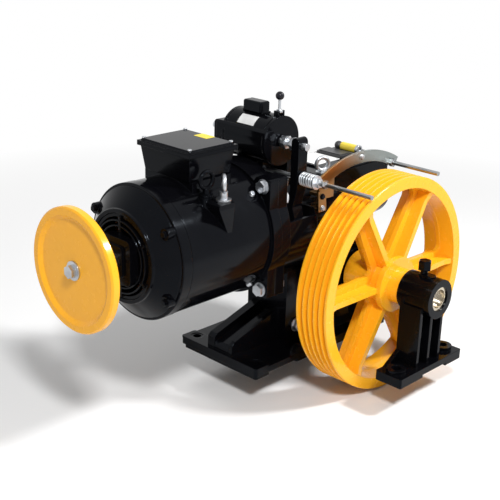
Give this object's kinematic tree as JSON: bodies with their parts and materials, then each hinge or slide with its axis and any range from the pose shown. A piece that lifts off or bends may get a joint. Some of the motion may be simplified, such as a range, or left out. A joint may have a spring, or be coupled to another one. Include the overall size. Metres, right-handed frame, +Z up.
{
  "type": "elevator traction machine",
  "caption": "Geared elevator traction machine: worm gearbox with grooved sheave on an outboard pedestal, flanged motor with handwheel and a spring-applied drum brake.",
  "frame": {"origin": "middle of the gearbox's four foundation bolt holes, on the plane of the feet", "axes": "+X along the motor axis from the handwheel to the gearbox, +Y along the sheave shaft away from the sheave, +Z up"},
  "size_m": [1.148, 0.652, 0.809],
  "materials": {
    "bare_iron": "rough",
    "black_enamel": "gloss",
    "bronze": "satin",
    "dark_plastic": "gloss",
    "laminated_core": "rough",
    "lining": "rough",
    "orange_enamel": "gloss",
    "turned_steel": "satin",
    "windings": "varnished",
    "yellow_plastic": "gloss",
    "zinc_plate": "satin"
  },
  "bodies": {
    "machine_frame": {"gearbox_housing": "black_enamel", "front_bearing_cover": "black_enamel", "rear_bearing_cover": "black_enamel", "worm_end_cap": "black_enamel", "top_cover": "black_enamel", "terminal_cover": "dark_plastic", "oil_elbow": "dark_plastic", "oil_filler": "yellow_plastic", "filler_ring": "zinc_plate", "drain_plug": "zinc_plate", "case_bolts": "zinc_plate", "sheave_bearings": "turned_steel", "worm_bearings": "turned_steel", "motor_housing": "black_enamel", "motor_end_shield": "black_enamel", "end_grille": "black_enamel", "stator_core": "laminated_core", "stator_windings": "windings", "motor_bearings": "turned_steel", "flange_bolts": "zinc_plate", "shield_screws": "black_enamel", "terminal_box": "black_enamel", "terminal_box_lid": "black_enamel", "lifting_ring": "black_enamel", "eyebolts": "zinc_plate", "arm_pivot_pins": "turned_steel", "brake_magnet": "black_enamel", "magnet_bracket": "black_enamel", "magnet_terminal_box": "black_enamel", "lever_bracket": "black_enamel", "tie_rod": "zinc_plate", "tie_rod_nuts": "zinc_plate", "near_spring": "zinc_plate", "far_spring": "zinc_plate", "rope_guard": "zinc_plate", "guard_studs": "zinc_plate", "guard_brackets": "zinc_plate", "pedestal": "black_enamel", "pedestal_bush": "bronze", "grease_cap": "dark_plastic"},
    "worm_line": {"worm_shaft": "turned_steel", "brake_drum": "bare_iron", "rotor": "laminated_core", "motor_shaft": "turned_steel", "handwheel": "orange_enamel", "handwheel_bolt": "zinc_plate"},
    "sheave_line": {"sheave": "orange_enamel", "sheave_shaft": "turned_steel", "shaft_keys": "turned_steel", "worm_wheel_hub": "bare_iron", "worm_wheel_rim": "bronze"},
    "near_arm": {"near_brake_arm": "black_enamel", "near_lining": "lining", "near_adjuster": "zinc_plate"},
    "far_arm": {"far_brake_arm": "black_enamel", "far_lining": "lining", "far_adjuster": "zinc_plate"},
    "near_plunger": {"near_plunger": "zinc_plate"},
    "far_plunger": {"far_plunger": "zinc_plate"},
    "release_lever": {"release_lever": "black_enamel"}
  },
  "joints": [
    {"name": "sheave_turn", "type": "hinge", "parent": "machine_frame", "child": "sheave_line", "pos_m": [0.1, -0.243, 0.214], "axis": [0, 1, 0], "continuous": true},
    {"name": "worm_turn", "type": "hinge", "parent": "machine_frame", "child": "worm_line", "pos_m": [0, 0, 0.386], "axis": [1, 0, 0], "continuous": true},
    {"name": "near_arm_swing", "type": "hinge", "parent": "machine_frame", "child": "near_arm", "pos_m": [-0.144, -0.058, 0.258], "axis": [1, 0, 0], "range_deg": [0, 0.33], "deforming": ["near_spring"]},
    {"name": "far_arm_swing", "type": "hinge", "parent": "machine_frame", "child": "far_arm", "pos_m": [-0.144, 0.058, 0.258], "axis": [-1, 0, 0], "range_deg": [0, 0.33], "deforming": ["far_spring"]},
    {"name": "near_plunger_slide", "type": "slide", "parent": "machine_frame", "child": "near_plunger", "axis": [0, -1, 0], "range_m": [0, 0.002]},
    {"name": "far_plunger_slide", "type": "slide", "parent": "machine_frame", "child": "far_plunger", "axis": [0, 1, 0], "range_m": [0, 0.002]},
    {"name": "release_lever_swing", "type": "hinge", "parent": "machine_frame", "child": "release_lever", "pos_m": [-0.14, -0.062, 0.677], "axis": [1, 0, 0], "range_deg": [0, 20]}
  ],
  "couplings": [
    {"joint": "worm_turn", "follows": "sheave_turn", "ratio": -43},
    {"joint": "far_arm_swing", "follows": "near_arm_swing", "ratio": 1},
    {"joint": "near_plunger_slide", "follows": "near_arm_swing", "m_per_rad": 0.347},
    {"joint": "far_plunger_slide", "follows": "near_arm_swing", "m_per_rad": 0.347},
    {"joint": "release_lever_swing", "follows": "near_arm_swing", "ratio": 60}
  ]
}
